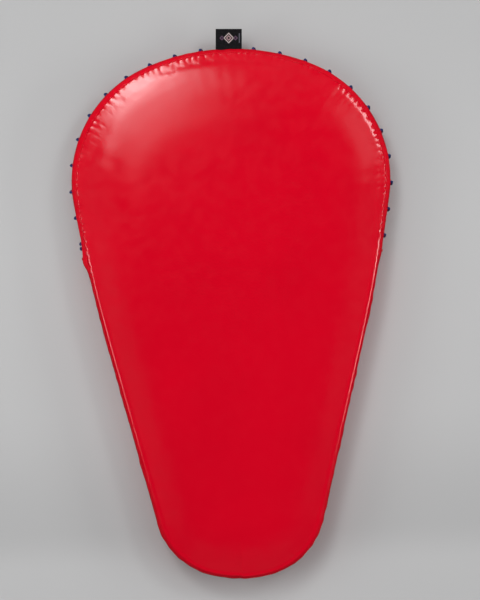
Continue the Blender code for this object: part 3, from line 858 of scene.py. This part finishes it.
def cord_surface():
    """The cord on its route: a smooth line through the corners, bent round the outline."""
    route, girth = cord_route()
    line = smooth_line(np.concatenate([route, girth[:, None]], axis=1), 8)
    centre = at_depth(line[:, 0], line[:, 1], CREST_Z + line[:, 2])
    _, inward = outline(line[:, 0])
    tangent = np.stack([-inward[:, 1], inward[:, 0]], axis=-1)
    steady = unit(np.concatenate([0.75 * tangent, np.full((len(line), 1), -0.65)], axis=-1))
    return tube(centre, line[:, 3], steady, 12)


def braided_cord(name, colour, dark, strands, pitch):
    """Braid: two sets of strands wound opposite ways round the cord, the taller on top."""
    finish, shader, place, cord = finish_of(name, 0.5, Specular_IOR_Level=0.3)
    round_it = cord.part("Y") * (2 * math.pi * strands)
    along = cord.part("X") * (2 * math.pi / pitch)
    height = (round_it + along).math("SINE").math("MAXIMUM", (round_it - along).math("SINE"))
    # The colour is darkest where neither strand stands high: painted shade between the strands.
    height.rise(0.0, 1.0).tint(dark, colour).feed(shader, "Base Color")
    height.bump(0.3 * MM, place.noise(1200.0).bump(0.05 * MM)).feed(shader, "Normal")
    return finish


cord_finish = braided_cord("blue_braided_cord", (0.010, 0.036, 0.19), (0.003, 0.011, 0.06),
                           4, 3.4 * MM)
lacing = piece("lacing", [cord_surface()], cord_finish)
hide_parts("lacing_cord")


# ---- Bartacks -----------------------------------------------------------------------------
# Dense bars of thread across both ends of the mouth, so that the lacing can't tear it longer.

def bartack(s_middle):
    """Nine stitches side by side across the slit, each 11 mm long, with two along them."""
    offset = np.linspace(-2.0, 2.0, 9) * MM
    s = s_middle + offset
    half = np.full(9, 5.5 * MM)
    zero = np.zeros(9)
    bars = stitches("bars", on_edge(s, half, 0.1 * MM), on_edge(s, -half, 0.1 * MM), edge_up(s, zero),
                    THREAD_RADIUS, 0.6 * MM)
    rails = np.array([-3.0, 3.0]) * MM
    begin, end = np.full(2, s_middle - 2.6 * MM), np.full(2, s_middle + 2.6 * MM)
    over = stitches("rails", on_edge(begin, rails, 0.7 * MM), on_edge(end, rails, 0.7 * MM),
                    edge_up(begin, rails), THREAD_RADIUS, 0.2 * MM)
    return [bars, over]


bartacks = piece("mouth_bartacks", bartack(-MOUTH_HALF - 3 * MM) + bartack(MOUTH_HALF + 3 * MM), red_thread)


# ---- Woven label --------------------------------------------------------------------------
# A black satin ribbon folded double, with its two ends sewn in above the front hem. It is
# woven with a row of plain lozenges and a column of short dashes that aren't letters.

LABEL_SHIFT, LABEL_TURN = 2.4 * MM, math.radians(-1.6)
LABEL_WIDTH, LABEL_REACH, LABEL_TAIL = 44.3 * MM, 32.5 * MM, 5.5 * MM
ROW_OUT = 17.0                  # of the lozenges from the seam, in millimetres
LABEL_LOW, LABEL_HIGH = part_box("label_tag")[0][2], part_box("label_tag")[1][2]
RIBBON = 0.34 * MM


def label_surface():
    """Hairpin of ribbon: out along the lower layer, round a tight half circle, back along the
    upper one, with the ribbon's thickness on either side. It cups a little across its width."""
    middle = (LABEL_LOW + LABEL_HIGH) / 2
    bend = (LABEL_HIGH - LABEL_LOW - RIBBON) / 2
    straight = np.linspace(-LABEL_TAIL, LABEL_REACH - bend - RIBBON / 2, 26)
    turn = np.linspace(-math.pi / 2, math.pi / 2, 9)[1:-1]
    reach = np.concatenate([straight, straight[-1] + bend * np.cos(turn), straight[::-1]])
    height = np.concatenate([0 * straight - bend, bend * np.sin(turn), 0 * straight + bend])
    line = np.stack([reach, height], axis=-1)
    along = unit(np.gradient(line, axis=0))
    out = np.stack([along[:, 1], -along[:, 0]], axis=-1)
    loop = np.concatenate([line + out * RIBBON / 2, (line - out * RIBBON / 2)[::-1]])
    across = np.concatenate([[-0.5], np.linspace(-0.494, 0.494, 25), [0.5]])[:, None] * LABEL_WIDTH
    reach = np.broadcast_to(loop[None, :, 0], (len(across), len(loop)))
    cupped = 0.22 * MM * np.sin(2 * math.pi * across / LABEL_WIDTH + 0.6)
    lift = cupped * smooth_step(reach, 4 * MM, LABEL_REACH)
    x = LABEL_SHIFT + across * math.cos(LABEL_TURN) - reach * math.sin(LABEL_TURN)
    y = HEAD_Y + across * math.sin(LABEL_TURN) + reach * math.cos(LABEL_TURN)
    points = pinched(np.stack([x, y, middle + loop[None, :, 1] + lift], axis=-1))
    closed = np.concatenate([loop, loop[:1]])
    uv = np.stack(np.broadcast_arrays(across, closed[None, :, 0]), axis=-1)
    return surface("label", points, uv, across=True)


def woven_pattern(name):
    """Black satin with a plain woven pattern: a row of nested lozenges and a column of short
    dashes. The map is in metres: X across the label from its middle, Y out from the seam.
    Each mark is a mask, a product of smooth steps."""
    finish, shader, place, label = finish_of(name, 0.5, Specular_IOR_Level=0.08)
    x, y = label.part("X") * 1000.0, label.part("Y") * 1000.0

    def dash(centre_x, centre_y, half_length, half_width):
        """1 inside a rectangle, in millimetres."""
        away_x, away_y = (x - centre_x).math("ABSOLUTE"), (y - centre_y).math("ABSOLUTE")
        return away_x.rise(half_length, half_length + 0.4, 1, 0) * away_y.rise(
            half_width, half_width + 0.4, 1, 0)

    def lozenge(centre_x, reach, half_width):
        """1 on the outline of a lozenge, where the two distances from its middle add up to
        its reach, in millimetres."""
        away = (x - centre_x).math("ABSOLUTE") + (y - ROW_OUT).math("ABSOLUTE")
        return (away - reach).math("ABSOLUTE").rise(half_width, half_width + 0.4, 1, 0)

    ink = (0.003, 0.003, 0.0035)
    colour = place.noise(300.0).rise(0.3, 0.7).tint(ink, (0.007, 0.0065, 0.008))
    plum, rose, pale = (0.095, 0.055, 0.09), (0.30, 0.19, 0.20), (0.40, 0.33, 0.32)
    grey = (0.13, 0.13, 0.16)
    marks = [(lozenge(0.0, 8.0, 1.0), pale), (lozenge(0.0, 3.6, 1.2), rose)]
    marks += [(lozenge(middle, 3.0, 1.0), plum) for middle in (-11.5, 11.5)]
    marks += [(dash(18.0, 10.4 + 3.3 * row, 0.7, 0.9), grey) for row in range(5)]
    for mask, tone in marks:
        colour = mask.over(colour, tone)
    weft, warp = y.wave(0.42) * 0.5 + 0.5, x.wave(0.34) * 0.5 + 0.5
    colour.feed(shader, "Base Color")
    (weft * 0.7 + warp * 0.3).bump(0.05 * MM).feed(shader, "Normal")
    return finish


folded_label = piece("folded_label", [label_surface()], woven_pattern("black_woven_label"))
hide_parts("label_tag")


# ---- Rear lining --------------------------------------------------------------------------
# A flat panel of matt woven cloth at the bottom of the recess, sewn to the edge all round.
# It lies against the foam, so it is level apart from a slight quilted unevenness.

PANEL_LOW, PANEL_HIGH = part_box("back_panel")[0][2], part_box("back_panel")[1][2]
PANEL_DEPTH = 36.3 * MM


def lining_surface():
    """Both faces of the panel on the lines of the front, with a rounded rim between them.
    The lower face sinks by up to 0.9 mm between soft swells, and by 1.1 mm at its sewn rim."""
    s = np.linspace(-HALF_LENGTH, HALF_LENGTH, 780, endpoint=False)[:, None]
    reach = np.concatenate([np.linspace(0, 0.12, 9)[:-1], np.linspace(0.12, 1.0, 16)])[None, :]
    flat = lines_to_axis(*np.broadcast_arrays(s, reach), PANEL_DEPTH)
    run = run_along(flat)
    x, y = flat[..., 0], flat[..., 1]
    across = np.sin(x / (31 * MM) + 1.3 * np.sin(y / (55 * MM)))
    along = np.sin(y / (43 * MM) + np.sin(x / (70 * MM)))
    swell = 0.45 * MM * (1 + across * along) * smooth_step(run, 2 * MM, 40 * MM)
    lower = PANEL_LOW + swell + 1.1 * MM * (1 - smooth_step(run, 0, 5 * MM))
    upper = np.full_like(lower, PANEL_HIGH)
    faces = [np.concatenate([flat, height[..., None]], axis=-1) for height in (lower, upper)]
    return plan_surface("lining", np.concatenate([faces[0][:, ::-1], faces[1]], axis=1))


lining_finish = woven_cloth("red_lining_cloth", (0.46, 0.004, 0.016), (0.27, 0.002, 0.010),
                            0.9 * MM, 0.62)
rear_lining = piece("rear_lining", [lining_surface()], lining_finish)
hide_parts("back_panel")


# ---- Webbing straps -----------------------------------------------------------------------
# A hand grip and a longer forearm strap of black ribbed webbing, 38 mm wide. Each stands off
# the lining between two tabs, which are sewn down with a boxed cross.

WEBBING_WIDTH, WEBBING_HALF = 38.0 * MM, 1.5 * MM
STRAP_TAB, STRAP_SLOPE, STRAP_DROP = 40.0 * MM, 34.0 * MM, 19.5 * MM
STRAP_GAP = 0.3 * MM            # between the lining and the webbing
BOX_HALF = np.array([14.5, 15.0]) * MM


def strap_line(straight):
    """Distances from the strap's middle and drops below the lining: flat on the tabs, down a
    slope that is eased by a moving average over 9 mm, and level in the middle."""
    half = straight / 2
    reach = half + STRAP_SLOPE + STRAP_TAB
    along = np.linspace(-reach, reach, 321)
    corner = [half, half + 0.3 * STRAP_SLOPE, half + 0.7 * STRAP_SLOPE, half + STRAP_SLOPE]
    drop = STRAP_DROP * np.interp(np.abs(along), corner, [1, 0.88, 0.12, 0])
    window = round(9 * MM / (along[1] - along[0]))
    padded = np.pad(drop, window, mode="edge")
    eased = np.convolve(padded, np.ones(window) / window, mode="same")[window:-window]
    return along, eased


def strap_surface(x, y, straight):
    """Webbing section, flat with full edges, carried along the strap's line square to it."""
    along, drop = strap_line(straight)
    height = PANEL_LOW - STRAP_GAP - WEBBING_HALF - drop
    line = np.stack([y + along, height], axis=-1)
    way = unit(np.gradient(line, axis=0))
    out = np.stack([-way[:, 1], way[:, 0]], axis=-1)
    t = np.linspace(-1, 1, 21)
    plump = WEBBING_HALF * 0.96 * np.sqrt(1 - np.abs(t) ** 14)
    width = np.concatenate([t, t[::-1]]) * WEBBING_WIDTH / 2
    thick = np.concatenate([plump, -plump[::-1]])
    side = np.broadcast_to(x + width[None, :], (len(line), len(width)))
    rest = line[:, None] + out[:, None] * thick[None, :, None]
    points = pinched(np.concatenate([side[..., None], rest], axis=-1))
    round_it = np.append(width, width[0])
    uv = np.stack(np.broadcast_arrays(round_it[None, :], run_along(line)[:, None]), axis=-1)
    return surface("strap", points, uv, across=True)


def boxed_cross(x, y, straight):
    """Stitches on both tabs: the four sides of a box, and its two diagonals."""
    meshes = []
    for end in (-1, 1):
        middle = y + end * (straight / 2 + STRAP_SLOPE + STRAP_TAB / 2)
        corner = np.array([(-1, -1), (1, -1), (1, 1), (-1, 1)]) * BOX_HALF + (x, middle)
        for first, last in ((0, 1), (1, 2), (2, 3), (3, 0), (0, 2), (1, 3)):
            span = corner[last] - corner[first]
            steps = np.arange(0, np.linalg.norm(span) - 2.4 * MM, 3.2 * MM)[:, None]
            begin = corner[first] + unit(span) * steps
            end_here = begin + unit(span) * 2.5 * MM
            z = np.full((len(begin), 1), PANEL_LOW - STRAP_GAP - 2 * WEBBING_HALF + 0.02 * MM)
            down = np.broadcast_to([0.0, 0.0, -1.0], (len(begin), 3))
            meshes.append(stitches("run", np.hstack([begin, z]), np.hstack([end_here, z]), down,
                                   0.38 * MM, 0.25 * MM))
    return meshes


def ribbed_webbing(name, colour, dark):
    """Webbing on the piece's own map: ribs along it 1.9 mm apart, each of slanting yarns."""
    finish, shader, place, web = finish_of(name, 0.6, Specular_IOR_Level=0.3)
    rib = web.part("X").wave(3.8 * MM).math("ABSOLUTE")
    slant = web.part("Y") + web.part("X").wave(7.6 * MM) * (0.9 * MM)
    yarn = slant.wave(1.3 * MM) * 0.5 + 0.5
    height = rib * (yarn * 0.45 + 0.55)
    # The colour is darkest in the grooves between the ribs and yarns: painted shade, with a random
    # unevenness over it.
    (height * place.noise(80.0).rise(0.3, 0.7, 0.7, 1.0)).tint(dark, colour).feed(shader, "Base Color")
    height.bump(0.4 * MM, place.noise(700.0).bump(0.1 * MM)).feed(shader, "Normal")
    return finish


webbing_finish = ribbed_webbing("black_ribbed_webbing", (0.030, 0.030, 0.033), (0.006, 0.006, 0.007))
black_thread = thread_finish("black_strap_thread", (0.05, 0.05, 0.055))
for name, *where in (("hand_grip", 75.0, 70.0, 92.0), ("arm_strap", -85.0, 70.0, 120.0)):
    x, y, straight = np.array(where) * MM
    webbing = piece(name + "_webbing", [strap_surface(x, y, straight)], webbing_finish)
    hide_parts(name)
    sewing = piece(name + "_sewing", boxed_cross(x, y, straight), black_thread)
